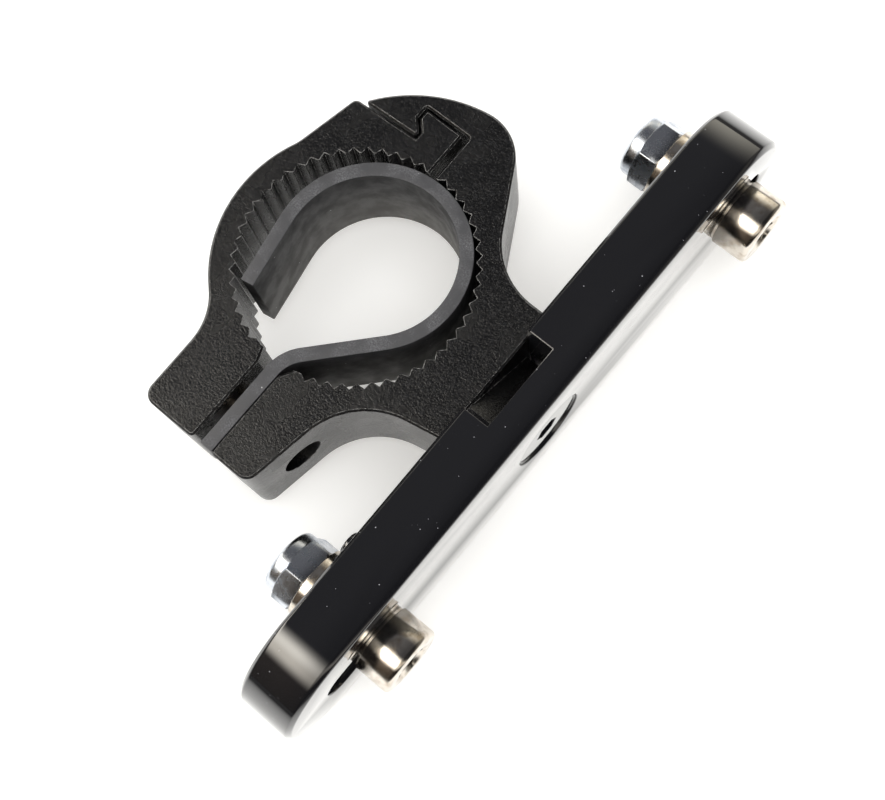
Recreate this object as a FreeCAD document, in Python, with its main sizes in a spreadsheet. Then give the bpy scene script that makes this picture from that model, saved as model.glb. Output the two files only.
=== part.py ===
import FreeCAD, Part
import os
from math import acos, atan2, ceil, cos, degrees, floor, hypot, pi, radians, sin, sqrt, tan
import Sketcher

# Bottle cage adapter: a toothed tube clamp in two halves that carries a slotted rail for a bottle cage.
# The origin is the centre of the toothed ring at mid height. X points to the rail and the bolt heads,
# Y runs along the rail and Z is the axis of the ring.

doc = FreeCAD.newDocument("BottleCageAdapter")
sheet = doc.addObject("Spreadsheet::Sheet", "Sizes")

# Driving sizes in millimetres and degrees
drivingSizes = [
    # Toothed ring
    ("clamp_height", 13.3, "height of both clamp halves"),
    ("tooth_tip_radius", 13.85, "ring radius at the tooth tips"),
    ("tooth_depth", 0.65, "from tip to root"),
    ("tooth_count", 53, "teeth on the full circle"),
    ("tooth_phase", 2.43, "angle of the first tooth root"),
    ("tooth_flat", 0.18, "flat left on each tooth tip"),
    ("edge_break", 0.25, "broken top and bottom edges of the clamp halves"),
    # Clamp body
    ("lobe_x", 0.98, "centre of the hinge lobe's round corner"),
    ("lobe_y", 17.58, "centre of the hinge lobe's round corner"),
    ("lobe_radius", 6.35, "round corner of the hinge lobe"),
    ("hook_radius", 18.3, "long curve of the lobe over the hook"),
    ("hook_start", 98.0, "angle where the lobe's corner turns into the long curve"),
    ("foot_upper", 8.95, "half width of the foot, upper side"),
    ("foot_lower", 9.3, "half width of the foot, lower side"),
    ("flank_upper_gap", 1.98, "room between the circles of the lobe and the upper concave flank"),
    ("flank_upper_radius", 9.3, "radius of the upper concave flank"),
    ("flank_lower_side", 1.3, "room between the ear's corner and the circle of the lower flank"),
    ("flank_lower_drop", 0.7, "room between the foot and the circle of the lower flank"),
    ("flank_lower_radius", 9.7, "radius of the lower concave flank"),
    ("foot_corner", 0.6, "rounding of the foot corners"),
    ("tenon_gap", 0.3, "side gap of the tenon in the rail's notch"),
    ("tenon_tip_gap", 0.1, "gap between the tenon and the floor of the notch"),
    ("tenon_flat", 0.6, "level strip at the high end of the tenon's slope"),
    ("tenon_low", 0.0, "height at the low end of the tenon's slope"),
    # Ears and the gap between them
    ("ear_end", 26.6, "distance of the ear ends from the ring centre"),
    ("gap_body", 1.5, "gap face of the body's ear"),
    ("gap_arm", 1.3, "gap face of the arm's ear"),
    ("gap_top", 15.4, "where the gap faces turn into the ring"),
    ("mouth_body", 10.8, "angle from straight down to the body's ring face"),
    ("mouth_arm", 8.0, "angle from straight down to the arm's ring face"),
    ("body_ear_width", 5.5, "width of the body's ear at its end"),
    ("arm_ear_width", 7.7, "width of the arm's ear"),
    ("ear_corner", 1.6, "outer rounding of the ear ends"),
    ("ear_inner_corner", 0.6, "inner rounding of the ear ends"),
    # Arm
    ("band_radius", 17.0, "outer radius of the arm's band"),
    ("band_end", 154.0, "angle where the band turns straight"),
    ("band_blend", 6.0, "rounding where the band turns straight"),
    ("ear_blend", 8.0, "concave blend from the band to the ear"),
    ("shoulder_x", -13.45, "outer corner of the shoulder"),
    ("shoulder_y", 15.77, "outer corner of the shoulder"),
    ("shoulder_rise", 0.43, "rise of the shoulder line up to the neck"),
    ("shoulder_corner", 0.8, "rounding of the shoulder corner"),
    # Hinge tongue of the arm in its pocket in the body
    ("tongue_right", -0.62, "right side of the tongue"),
    ("tongue_neck", 4.0, "width of the neck"),
    ("tongue_head", 5.23, "width of the head"),
    ("tongue_top", 19.78, "top of the tongue"),
    ("tongue_side", 1.33, "straight side of the head"),
    ("neck_height", 1.0, "straight side of the neck"),
    ("hinge_gap", 0.3, "clearance round the tongue"),
    ("tongue_play", 0.92, "free room on the right of the tongue"),
    ("tongue_corner", 0.3, "rounding of the tongue's corners and its pocket"),
    # Pinch bolt through both ears
    ("pinch_y", 20.0, "distance of the pinch bolt below the ring centre"),
    ("pinch_diameter", 5.0, "shank of the pinch bolt"),
    ("pinch_length", 10.0, "shank length of the pinch bolt"),
    ("pinch_head_diameter", 8.5, "head of the pinch bolt"),
    ("pinch_head_height", 4.6, "head of the pinch bolt"),
    ("pinch_floor", 2.7, "arm wall under the head of the pinch bolt"),
    ("pinch_seat_gap", 0.15, "room under the head for the swing of the arm"),
    ("pinch_clearance", 0.35, "radial clearance of the shank in the arm and the liner"),
    ("pinch_head_clearance", 0.3, "radial clearance of the head in its recess"),
    # Rubber liner
    ("liner_thickness", 1.7, "thickness of the liner"),
    ("liner_height", 13.1, "height of the liner"),
    ("liner_tail_end", 26.4, "end of the liner's tail between the ears"),
    ("loop_x", 0.96, "centre of the loop's arc on the rail side"),
    ("loop_y", 2.4, "centre of the loop's arc on the rail side"),
    ("loop_start", -43.0, "angle where the run from the ears joins the loop"),
    ("loop_radius", 10.42, "middle of the strip on the rail side"),
    ("loop_top", 96.0, "angle where the loop's wider arc begins"),
    ("loop_wide_radius", 11.3, "middle of the strip on the far side"),
    ("loop_end", 190.0, "angle where the loop runs straight to its free end"),
    ("loop_tail", 8.9, "straight run to the free end"),
    ("loop_neck", 5.0, "bend from the ears into the loop"),
    # Rail
    ("rail_back", 20.68, "back face of the rail, on the foot"),
    ("rail_thickness", 7.4, "front to back"),
    ("rail_low_end", 45.0, "lower end of the rail from the ring centre"),
    ("rail_high_end", 43.0, "upper end of the rail from the ring centre"),
    ("rail_width", 20.1, "height across the rail"),
    ("rail_break", 0.5, "broken long edges of the rail"),
    ("notch_width", 11.0, "notch in the back for the tenon"),
    ("notch_depth", 3.55, "notch in the back for the tenon"),
    ("slot_width", 5.4, "width of the cage bolt slots"),
    ("lower_slot_wall", 6.5, "rail left outside the lower slot"),
    ("lower_slot_length", 11.1, "length of the lower slot"),
    ("upper_slot_wall", 3.8, "rail left outside the upper slot"),
    ("upper_slot_length", 7.8, "length of the upper slot"),
    ("nub_diameter", 3.2, "round nub on the back beside the lower nut"),
    ("nub_height", 1.45, "height of the nub"),
    ("nub_break", 0.3, "broken edge of the nub"),
    ("nub_along", 5.7, "nub from the lower bolt along the rail"),
    ("nub_up", 3.2, "nub above the middle of the rail"),
    ("sink_diameter", 10.3, "mouth of the countersink"),
    ("sink_step", 0.3, "straight wall at the mouth of the countersink"),
    ("sink_hole", 5.5, "hole under the countersink"),
    # Countersunk rail screw
    ("screw_diameter", 5.0, "shank of the rail screw"),
    ("screw_length", 12.0, "overall length of the rail screw"),
    ("screw_head_diameter", 9.6, "head of the rail screw"),
    ("screw_head_edge", 0.35, "straight edge of the screw head"),
    ("screw_hole_spare", 0.5, "hole left past the screw's tip"),
    ("screw_socket", 3.0, "hexagon across flats"),
    ("screw_socket_depth", 1.9, "depth of the hexagon"),
    # Cage bolts with washers and lock nuts
    ("lower_bolt_inset", 8.5, "lower cage bolt from the outer end of its slot"),
    ("upper_bolt_inset", 5.2, "upper cage bolt from the outer end of its slot"),
    ("bolt_diameter", 5.0, "shank of the cage bolts"),
    ("bolt_length", 14.0, "shank length of the cage bolts"),
    ("bolt_head_diameter", 8.5, "head of the cage bolts"),
    ("bolt_head_height", 4.5, "head of the cage bolts"),
    ("head_break", 0.4, "broken rim of the cap heads"),
    ("cap_socket", 4.0, "hexagon of the cap heads across flats"),
    ("cap_socket_depth", 2.5, "depth of the hexagon"),
    ("tip_chamfer", 0.6, "chamfer at the shank ends"),
    ("washer_hole", 5.3, "hole of the washers"),
    ("washer_diameter", 9.0, "outside of the two washers behind the rail"),
    ("washer_thickness", 1.0, "thickness of the two washers behind the rail"),
    ("front_washer_diameter", 8.0, "outside of the thin washer under the head"),
    ("front_washer_thickness", 0.35, "thickness of the washer under the head"),
    ("nut_across_flats", 8.0, "lock nut hexagon"),
    ("nut_hex_height", 2.85, "height of the nut's hexagon"),
    ("nut_height", 4.6, "whole height of the nut"),
    ("nut_chamfer", 0.35, "height of the turned corner chamfer"),
    ("collar_diameter", 7.8, "collar round the nylon ring"),
    ("collar_break", 1.0, "sloped shoulder of the collar"),
    ("collar_lip", 0.35, "rim rolled over the nylon ring"),
    ("collar_mouth", 5.6, "opening of the rolled rim"),
    ("ring_diameter", 5.9, "outside of the nylon ring"),
    ("ring_thickness", 1.6, "height of the nylon ring"),
    ("lower_nut_turn", 11.5, "turn of the lower nut"),
    ("upper_nut_turn", 31.5, "turn of the upper nut"),
    ("thread_clearance", 0.04, "radial clearance of every shank in its thread"),
]
for row, (alias, value, note) in enumerate(drivingSizes, 1):
    sheet.set(f"A{row}", note)
    sheet.set(f"B{row}", str(value))
    sheet.setAlias(f"B{row}", alias)
doc.recompute()


def size(alias):
    return float(sheet.get(alias))


def worth(expression):
    return float(sheet.evalExpression(expression))


def vec(x, y, z=0.0):
    return FreeCAD.Vector(x, y, z)


# Shared steps of every sub-part

def newBody(label):
    body = doc.addObject("PartDesign::Body", label)
    body.Label = label
    return body


def originFeature(body, role):
    return next(f for f in body.Origin.OriginFeatures if f.Role == role)


def newSketch(body, name, plane, height=None, shift=None):
    sketch = body.newObject("Sketcher::SketchObject", name)
    sketch.AttachmentSupport = [(originFeature(body, plane), "")]
    sketch.MapMode = "FlatFace"
    if height:
        sketch.setExpression("AttachmentOffset.Base.z", height)
    if shift:
        sketch.setExpression("AttachmentOffset.Base.x", shift)
    return sketch


def addFeature(body, kind, name, sketch, length, **settings):
    # A length of None cuts through all.
    feature = body.newObject(f"PartDesign::{kind}", name)
    feature.Profile = sketch
    for key, value in settings.items():
        setattr(feature, key, value)
    if length:
        feature.setExpression("Length", length)
    else:
        feature.Type = "ThroughAll"
    doc.recompute()
    return feature


def turnProfile(body, kind, name, sketch, axis):
    feature = body.newObject(f"PartDesign::{kind}", name)
    feature.Profile = sketch
    feature.ReferenceAxis = (originFeature(body, axis), [""])
    feature.Angle = 360
    doc.recompute()
    return feature


def dressEdges(body, kind, name, chosen, amount):
    base = body.Tip
    names = [f"Edge{i}" for i, edge in enumerate(base.Shape.Edges, 1) if chosen(edge)]
    feature = body.newObject(f"PartDesign::{kind}", name)
    feature.Base = (base, names)
    feature.setExpression("Radius" if kind == "Fillet" else "Size", amount)
    doc.recompute()
    return feature


def addCircle(sketch, diameter, radius=1.0, construction=False, place=None):
    # The circle stands on the sketch's origin, or at the two expressions of its place.
    centre = vec(worth(place[0]), worth(place[1])) if place else vec(0, 0)
    circle = sketch.addGeometry(Part.Circle(centre, vec(0, 0, 1), radius), construction)
    if place:
        for kind, value, expression in zip(("DistanceX", "DistanceY"), centre, place):
            rule = sketch.addConstraint(Sketcher.Constraint(kind, -1, 1, circle, 3, value))
            sketch.setExpression(f"Constraints[{rule}]", expression)
    else:
        sketch.addConstraint(Sketcher.Constraint("Coincident", circle, 3, -1, 1))
    rule = sketch.addConstraint(Sketcher.Constraint("Diameter", circle, 2 * radius))
    sketch.setExpression(f"Constraints[{rule}]", diameter)
    return circle


class Outline:
    # A closed line of straight and round stretches, drawn from point to point.
    def __init__(self, start):
        self.start = start
        self.at = start
        self.stretches = []

    def line(self, end):
        self.add(Part.LineSegment(vec(*self.at), vec(*end)), end)

    def lines(self, *ends):
        for end in ends:
            self.line(end)

    def arc(self, centre, end, clockwise=False):
        radius = hypot(self.at[0] - centre[0], self.at[1] - centre[1])
        begin = atan2(self.at[1] - centre[1], self.at[0] - centre[0])
        finish = atan2(end[1] - centre[1], end[0] - centre[0])
        if clockwise:
            begin, finish = finish, begin
        if finish < begin:
            finish += 2 * pi
        circle = Part.Circle(vec(*centre), vec(0, 0, 1), radius)
        self.add(Part.ArcOfCircle(circle, begin, finish), end, clockwise)

    def add(self, shape, end, backwards=False):
        self.stretches.append((shape, backwards))
        self.at = end

    def draw(self, sketch):
        if hypot(self.at[0] - self.start[0], self.at[1] - self.start[1]) > 0.0001:
            self.line(self.start)
        first = sketch.GeometryCount
        count = len(self.stretches)
        for shape, _ in self.stretches:
            sketch.addGeometry(shape)
        for i, (_, backwards) in enumerate(self.stretches):
            following = (i + 1) % count
            end = 1 if backwards else 2
            start = 2 if self.stretches[following][1] else 1
            joint = Sketcher.Constraint("Coincident", first + i, end, first + following, start)
            sketch.addConstraint(joint)


def addPolygon(sketch, points):
    edge = Outline(points[0])
    edge.lines(*points[1:])
    edge.draw(sketch)


def addHexagon(sketch, acrossFlats):
    corner = size(acrossFlats) / sqrt(3)
    first = sketch.GeometryCount
    addPolygon(sketch, [onCircle(corner, 60 * i) for i in range(6)])
    frame = addCircle(sketch, f"Sizes.{acrossFlats} / cos(30)", corner, construction=True)
    for i in range(6):
        sketch.addConstraint(Sketcher.Constraint("PointOnObject", first + i, 1, frame))
    for i in range(1, 6):
        sketch.addConstraint(Sketcher.Constraint("Equal", first, first + i))
    sketch.addConstraint(Sketcher.Constraint("PointOnObject", first, 1, -1))


def onCircle(radius, angle, centre=(0.0, 0.0)):
    turn = radians(angle)
    return (centre[0] + radius * cos(turn), centre[1] + radius * sin(turn))


def tangentFrom(point, centre, radius, side):
    # Where a line from the point touches the circle, turned left (+1) or right (-1) about its centre.
    reach = hypot(point[0] - centre[0], point[1] - centre[1])
    heading = degrees(atan2(point[1] - centre[1], point[0] - centre[0]))
    return onCircle(radius, heading + side * degrees(acos(radius / reach)), centre)


def bridge(centreA, radiusA, centreB, radiusB):
    # Ends of the straight line that crosses between two circles and touches both.
    reach = hypot(centreB[0] - centreA[0], centreB[1] - centreA[1])
    heading = degrees(atan2(centreB[1] - centreA[1], centreB[0] - centreA[0]))
    swing = degrees(acos((radiusA + radiusB) / reach))
    return onCircle(radiusA, heading + swing, centreA), onCircle(radiusB, heading + 180 + swing, centreB)


def leftCrossing(point, slope, centre, radius):
    # Where the sloping line through the point meets the left side of the circle.
    drop = point[1] - centre[1] + slope * (centre[0] - point[0])
    run = (-slope * drop - sqrt(radius ** 2 * (1 + slope ** 2) - drop ** 2)) / (1 + slope ** 2)
    return (centre[0] + run, centre[1] + drop + slope * run)


def uprightAt(*corners):
    # Picks the upright edges that stand on the named corners.
    def chosen(edge):
        box = edge.BoundBox
        onCorner = any(hypot(box.Center.x - x, box.Center.y - y) < 0.02 for x, y in corners)
        return onCorner and box.ZLength > size("clamp_height") / 2
    return chosen


def clampRims(edge):
    # Picks the edges of the top and bottom faces, but not the circle that the teeth are cut into.
    box = edge.BoundBox
    level = box.ZLength < 0.01 and abs(abs(box.Center.z) - size("clamp_height") / 2) < 0.01
    onRing = all(abs(hypot(v.X, v.Y) - size("tooth_tip_radius")) < 0.01 for v in edge.Vertexes)
    return level and not onRing


def cutTeeth(body, firstAngle, lastAngle):
    # Cuts a V groove at the first root between the two angles and repeats it round the ring.
    # The margin is the share of a pitch that stays whole beside each end.
    pitch = 360 / size("tooth_count")
    margin = 0.45
    first = ceil((firstAngle - size("tooth_phase")) / pitch + margin)
    last = floor((lastAngle - size("tooth_phase")) / pitch - margin)
    angle = size("tooth_phase") + first * pitch
    tip = size("tooth_tip_radius")
    depth = size("tooth_depth")
    halfMouth = degrees((pi * tip / size("tooth_count") - size("tooth_flat") / 2) / tip)
    sketch = newSketch(body, "ToothGap", "XY_Plane")
    addPolygon(sketch, [
        onCircle(tip, angle - halfMouth),
        onCircle(tip + depth, angle),
        onCircle(tip, angle + halfMouth),
        onCircle(tip - depth, angle),
    ])
    cut = addFeature(body, "Pocket", "ToothGapCut", sketch, None, Midplane=True)
    teeth = body.newObject("PartDesign::PolarPattern", "Teeth")
    teeth.Originals = [cut]
    teeth.Axis = (originFeature(body, "Z_Axis"), [""])
    teeth.Occurrences = last - first + 1
    teeth.setExpression("Angle", f"{last - first} * 360 / Sizes.tooth_count")
    body.Tip = teeth
    doc.recompute()


# Places that the two clamp halves share

halfHeight = size("clamp_height") / 2
tip = size("tooth_tip_radius")
gap = size("hinge_gap")
earEnd = -size("ear_end")
gapTop = -size("gap_top")
neckLeft = size("tongue_right") - size("tongue_neck")
headLeft = size("tongue_right") - size("tongue_head")
neckFoot = size("shoulder_y") + size("shoulder_rise")
neckTop = neckFoot + size("neck_height")
headLow = size("tongue_top") - size("tongue_side")

# Places of the cage bolts along the rail
boltY = {
    "lower": "Sizes.lower_slot_wall + Sizes.lower_bolt_inset - Sizes.rail_low_end",
    "upper": "Sizes.rail_high_end - Sizes.upper_slot_wall - Sizes.upper_bolt_inset",
}

# Top of the rail screw's head, seated on the cone of the countersink
railFront = "(Sizes.rail_back + Sizes.rail_thickness)"
headRoom = "(Sizes.sink_diameter - Sizes.screw_head_diameter) / 2"
screwTop = f"({railFront} - Sizes.sink_step - {headRoom} + Sizes.screw_head_edge)"


def buildClampBody():
    body = newBody("clamp_body")
    lobe = (size("lobe_x"), size("lobe_y"))
    lobeRadius = size("lobe_radius")
    hookRadius = size("hook_radius")
    hookStart = onCircle(lobeRadius, size("hook_start"), lobe)
    hookCentre = onCircle(lobeRadius - hookRadius, size("hook_start"), lobe)
    upperRadius = size("flank_upper_radius")
    upperY = size("foot_upper") + upperRadius
    upperReach = lobeRadius + upperRadius + size("flank_upper_gap")
    flankUpper = (lobe[0] + sqrt(upperReach ** 2 - (upperY - lobe[1]) ** 2), upperY)
    lowerRadius = size("flank_lower_radius")
    footTop = (size("rail_back"), size("foot_upper"))
    footBottom = (size("rail_back"), -size("foot_lower"))
    earOuter = (size("gap_body") + size("body_ear_width"), earEnd)
    earInner = (size("gap_body"), earEnd)
    flankLower = (
        earOuter[0] + lowerRadius + size("flank_lower_side"),
        footBottom[1] - lowerRadius - size("flank_lower_drop"),
    )

    # Pocket for the tongue: the hook's flank and underside run parallel to the tongue's own
    pocketRight = size("tongue_right") + size("tongue_play")
    pocketLeft = headLeft - gap
    pocketTop = size("tongue_top") + gap
    hookTipX = neckLeft - gap
    flankRise = headLow - neckTop
    flankRun = neckLeft - headLeft
    flankDrop = gap * (hypot(flankRise, flankRun) - flankRise) / flankRun
    slope = size("shoulder_rise") / (neckLeft - size("shoulder_x"))
    underside = size("shoulder_y") + gap
    hookOuter = leftCrossing((size("shoulder_x"), underside), slope, hookCentre, hookRadius)
    hookInner = (hookTipX, underside + slope * (hookTipX - size("shoulder_x")))
    hookUpper = (hookTipX, neckTop - flankDrop)
    pocketCorners = [(pocketLeft, pocketTop), (pocketRight, pocketTop)]

    mouth = onCircle(tip, size("mouth_body") - 90)
    lobeStart, flankEnd = bridge(lobe, lobeRadius, flankUpper, upperRadius)
    edge = Outline((pocketRight, sqrt(tip ** 2 - pocketRight ** 2)))
    edge.arc((0.0, 0.0), mouth, clockwise=True)
    edge.lines((size("gap_body"), gapTop), earInner, earOuter)
    edge.line(tangentFrom(earOuter, flankLower, lowerRadius, -1))
    edge.arc(flankLower, tangentFrom(footBottom, flankLower, lowerRadius, 1), clockwise=True)
    edge.lines(footBottom, footTop, (flankUpper[0], size("foot_upper")))
    edge.arc(flankUpper, flankEnd, clockwise=True)
    edge.line(lobeStart)
    edge.arc(lobe, hookStart)
    edge.arc(hookCentre, hookOuter)
    edge.lines(hookInner, hookUpper, (pocketLeft, headLow - flankDrop), *pocketCorners)

    outline = newSketch(body, "BodyOutline", "XY_Plane")
    edge.draw(outline)
    addFeature(body, "Pad", "BodyPad", outline, "Sizes.clamp_height", Midplane=True)
    dressEdges(body, "Fillet", "FootCorners", uprightAt(footTop, footBottom), "Sizes.foot_corner")
    dressEdges(body, "Fillet", "EarCorner", uprightAt(earOuter), "Sizes.ear_corner")
    dressEdges(body, "Fillet", "EarInner", uprightAt(earInner), "Sizes.ear_inner_corner")
    small = uprightAt(hookOuter, hookInner, hookUpper, *pocketCorners)
    dressEdges(body, "Fillet", "HookCorners", small, "Sizes.tongue_corner")
    dressEdges(body, "Chamfer", "BodyRims", clampRims, "Sizes.edge_break")
    cutTeeth(body, size("mouth_body") - 90, degrees(atan2(edge.start[1], edge.start[0])))

    # Tenon in the rail's notch: its top slopes from the clamp's top face down to mid height
    halfTenon = size("notch_width") / 2 - size("tenon_gap")
    tenon = newSketch(body, "TenonProfile", "YZ_Plane", "Sizes.rail_back")
    addPolygon(tenon, [
        (-halfTenon, halfHeight),
        (size("tenon_flat") - halfTenon, halfHeight),
        (halfTenon, size("tenon_low")),
        (halfTenon, -halfHeight),
        (-halfTenon, -halfHeight),
    ])
    addFeature(body, "Pad", "Tenon", tenon, "Sizes.notch_depth - Sizes.tenon_tip_gap")

    # Tapped holes for the rail screw and the pinch bolt
    screwBore = newSketch(body, "ScrewBore", "YZ_Plane", "Sizes.rail_back + Sizes.notch_depth")
    addCircle(screwBore, "Sizes.screw_diameter + 2 * Sizes.thread_clearance")
    screwEnd = f"{screwTop} - Sizes.screw_length - Sizes.screw_hole_spare"
    depth = f"Sizes.rail_back + Sizes.notch_depth - ({screwEnd})"
    addFeature(body, "Pocket", "ScrewBoreCut", screwBore, depth)
    pinchBore = newSketch(body, "PinchBore", "YZ_Plane", shift="-Sizes.pinch_y")
    addCircle(pinchBore, "Sizes.pinch_diameter + 2 * Sizes.thread_clearance")
    addFeature(body, "Pocket", "PinchBoreCut", pinchBore, None, Reversed=True)
    return body


def buildClampArm():
    body = newBody("clamp_arm")
    band = size("band_radius")
    blend = size("ear_blend")
    earLeft = -size("gap_arm") - size("arm_ear_width")
    earInner = (-size("gap_arm"), earEnd)
    earOuter = (earLeft, earEnd)
    shoulder = (size("shoulder_x"), size("shoulder_y"))
    tongueTop = size("tongue_top")
    blendCentre = (earLeft - blend, -sqrt((band + blend) ** 2 - (earLeft - blend) ** 2))
    share = band / (band + blend)
    bandEnd = onCircle(band, size("band_end"))
    tongueCorners = [(headLeft, headLow), (headLeft, tongueTop), (size("tongue_right"), tongueTop)]

    edge = Outline((size("tongue_right"), sqrt(tip ** 2 - size("tongue_right") ** 2)))
    edge.arc((0.0, 0.0), onCircle(tip, -90 - size("mouth_arm")))
    edge.lines((-size("gap_arm"), gapTop), earInner, earOuter, (earLeft, blendCentre[1]))
    edge.arc(blendCentre, (blendCentre[0] * share, blendCentre[1] * share))
    edge.arc((0.0, 0.0), bandEnd, clockwise=True)
    edge.lines(shoulder, (neckLeft, neckFoot), (neckLeft, neckTop), *tongueCorners)

    outline = newSketch(body, "ArmOutline", "XY_Plane")
    edge.draw(outline)
    addFeature(body, "Pad", "ArmPad", outline, "Sizes.clamp_height", Midplane=True)
    dressEdges(body, "Fillet", "BandBlend", uprightAt(bandEnd), "Sizes.band_blend")
    dressEdges(body, "Fillet", "EarCorner", uprightAt(earOuter), "Sizes.ear_corner")
    dressEdges(body, "Fillet", "EarInner", uprightAt(earInner), "Sizes.ear_inner_corner")
    dressEdges(body, "Fillet", "Shoulder", uprightAt(shoulder), "Sizes.shoulder_corner")
    dressEdges(body, "Fillet", "TongueCorners", uprightAt(*tongueCorners), "Sizes.tongue_corner")
    dressEdges(body, "Chamfer", "ArmRims", clampRims, "Sizes.edge_break")
    cutTeeth(body, degrees(atan2(edge.start[1], edge.start[0])), 270 - size("mouth_arm"))

    # Recess for the pinch bolt's head and the clear hole for its shank
    recess = newSketch(body, "HeadRecess", "YZ_Plane", "-Sizes.gap_arm - Sizes.pinch_floor", "-Sizes.pinch_y")
    addCircle(recess, "Sizes.pinch_head_diameter + 2 * Sizes.pinch_head_clearance")
    addFeature(body, "Pocket", "HeadRecessCut", recess, "Sizes.arm_ear_width")
    shank = newSketch(body, "ShankHole", "YZ_Plane", shift="-Sizes.pinch_y")
    addCircle(shank, "Sizes.pinch_diameter + 2 * Sizes.pinch_clearance")
    addFeature(body, "Pocket", "ShankHoleCut", shank, None)
    return body


def buildLiner():
    # A rubber strip that stands in a loose loop inside the ring, with its tail between the ears.
    # Its middle line runs up the tail, bends into a straight run, follows two arcs over the top
    # and ends in a straight free end. The outline is that line moved to both sides.
    body = newBody("rubber_liner")
    half = size("liner_thickness") / 2
    tailX = size("gap_body") - half
    radius = size("loop_radius")
    wide = size("loop_wide_radius")
    neck = size("loop_neck")
    start = size("loop_start")
    top = size("loop_top")
    end = size("loop_end")
    centre = (size("loop_x"), size("loop_y"))
    wideCentre = onCircle(radius - wide, top, centre)
    runStart = onCircle(radius, start, centre)
    meetY = runStart[1] + (tailX - runStart[0]) / tan(radians(-start))
    neckY = meetY - neck * tan(radians(-start) / 2)
    neckCentre = (tailX + neck, neckY)

    def place(station, shift):
        # A point of one side: the shift is counted outwards from the loop's centre.
        if station == "tail":
            return (tailX + shift, -size("liner_tail_end"))
        if station == "neck foot":
            return (tailX + shift, neckY)
        if station == "neck top":
            return onCircle(neck - shift, 180 + start, neckCentre)
        if station == "loop start":
            return onCircle(radius + shift, start, centre)
        if station == "loop top":
            return onCircle(radius + shift, top, centre)
        if station == "loop end":
            return onCircle(wide + shift, end, wideCentre)
        straight = onCircle(size("loop_tail"), end + 90)
        last = place("loop end", shift)
        return (last[0] + straight[0], last[1] + straight[1])

    edge = Outline(place("tail", half))
    edge.line(place("neck foot", half))
    edge.arc(neckCentre, place("neck top", half), clockwise=True)
    edge.line(place("loop start", half))
    edge.arc(centre, place("loop top", half))
    edge.arc(wideCentre, place("loop end", half))
    edge.lines(place("free end", half), place("free end", -half), place("loop end", -half))
    edge.arc(wideCentre, place("loop top", -half), clockwise=True)
    edge.arc(centre, place("loop start", -half), clockwise=True)
    edge.line(place("neck top", -half))
    edge.arc(neckCentre, place("neck foot", -half))
    edge.line(place("tail", -half))
    outline = newSketch(body, "LinerOutline", "XY_Plane")
    edge.draw(outline)
    addFeature(body, "Pad", "LinerStrip", outline, "Sizes.liner_height", Midplane=True)
    hole = newSketch(body, "PinchHole", "YZ_Plane", "-Sizes.gap_arm", "-Sizes.pinch_y")
    addCircle(hole, "Sizes.pinch_diameter + 2 * Sizes.pinch_clearance")
    addFeature(body, "Pocket", "PinchHoleCut", hole, None, Reversed=True)
    return body


def buildRail():
    body = newBody("cage_rail")

    def addStadium(sketch, low, high, width):
        radius = width / 2
        edge = Outline((low + radius, -radius))
        edge.line((high - radius, -radius))
        edge.arc((high - radius, 0.0), (high - radius, radius))
        edge.line((low + radius, radius))
        edge.arc((low + radius, 0.0), (low + radius, -radius))
        edge.draw(sketch)

    def outlineEdge(edge):
        # Picks the front and back edges of the rail's outline, but not those of the slots.
        reach = max(abs(v.Z) for v in edge.Vertexes)
        return edge.BoundBox.XLength < 0.01 and reach > size("rail_width") / 2 - 0.01

    lowSlot = size("lower_slot_wall") - size("rail_low_end")
    highSlot = size("rail_high_end") - size("upper_slot_wall")
    face = newSketch(body, "RailFace", "YZ_Plane", "Sizes.rail_back")
    addStadium(face, -size("rail_low_end"), size("rail_high_end"), size("rail_width"))
    addStadium(face, lowSlot, lowSlot + size("lower_slot_length"), size("slot_width"))
    addStadium(face, highSlot - size("upper_slot_length"), highSlot, size("slot_width"))
    addFeature(body, "Pad", "RailPad", face, "Sizes.rail_thickness")
    dressEdges(body, "Chamfer", "RailBreak", outlineEdge, "Sizes.rail_break")

    # Notch across the back that takes the tenon
    back = size("rail_back")
    halfNotch = size("notch_width") / 2
    notch = newSketch(body, "Notch", "XY_Plane")
    addPolygon(notch, [
        (back - size("notch_depth"), -halfNotch),
        (back + size("notch_depth"), -halfNotch),
        (back + size("notch_depth"), halfNotch),
        (back - size("notch_depth"), halfNotch),
    ])
    addFeature(body, "Pocket", "NotchCut", notch, None, Midplane=True)

    # Round nub on the back beside the lower nut
    nub = newSketch(body, "Nub", "YZ_Plane", "Sizes.rail_back")
    addCircle(nub, "Sizes.nub_diameter", place=(f"{boltY['lower']} + Sizes.nub_along", "Sizes.nub_up"))
    addFeature(body, "Pad", "NubPad", nub, "Sizes.nub_height", Reversed=True)
    nubTop = back - size("nub_height")
    dressEdges(body, "Chamfer", "NubBreak", lambda edge: edge.BoundBox.XMax < nubTop + 0.01, "Sizes.nub_break")

    # Countersunk hole in the middle of the front
    front = worth(railFront)
    coneTop = front - size("sink_step")
    sinkRadius = size("sink_diameter") / 2
    holeRadius = size("sink_hole") / 2
    sink = newSketch(body, "Countersink", "XY_Plane")
    addPolygon(sink, [
        (back, 0.0),
        (back, holeRadius),
        (coneTop - sinkRadius + holeRadius, holeRadius),
        (coneTop, sinkRadius),
        (front + holeRadius, sinkRadius),
        (front + holeRadius, 0.0),
    ])
    turnProfile(body, "Groove", "CountersinkCut", sink, "X_Axis")
    return body


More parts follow.
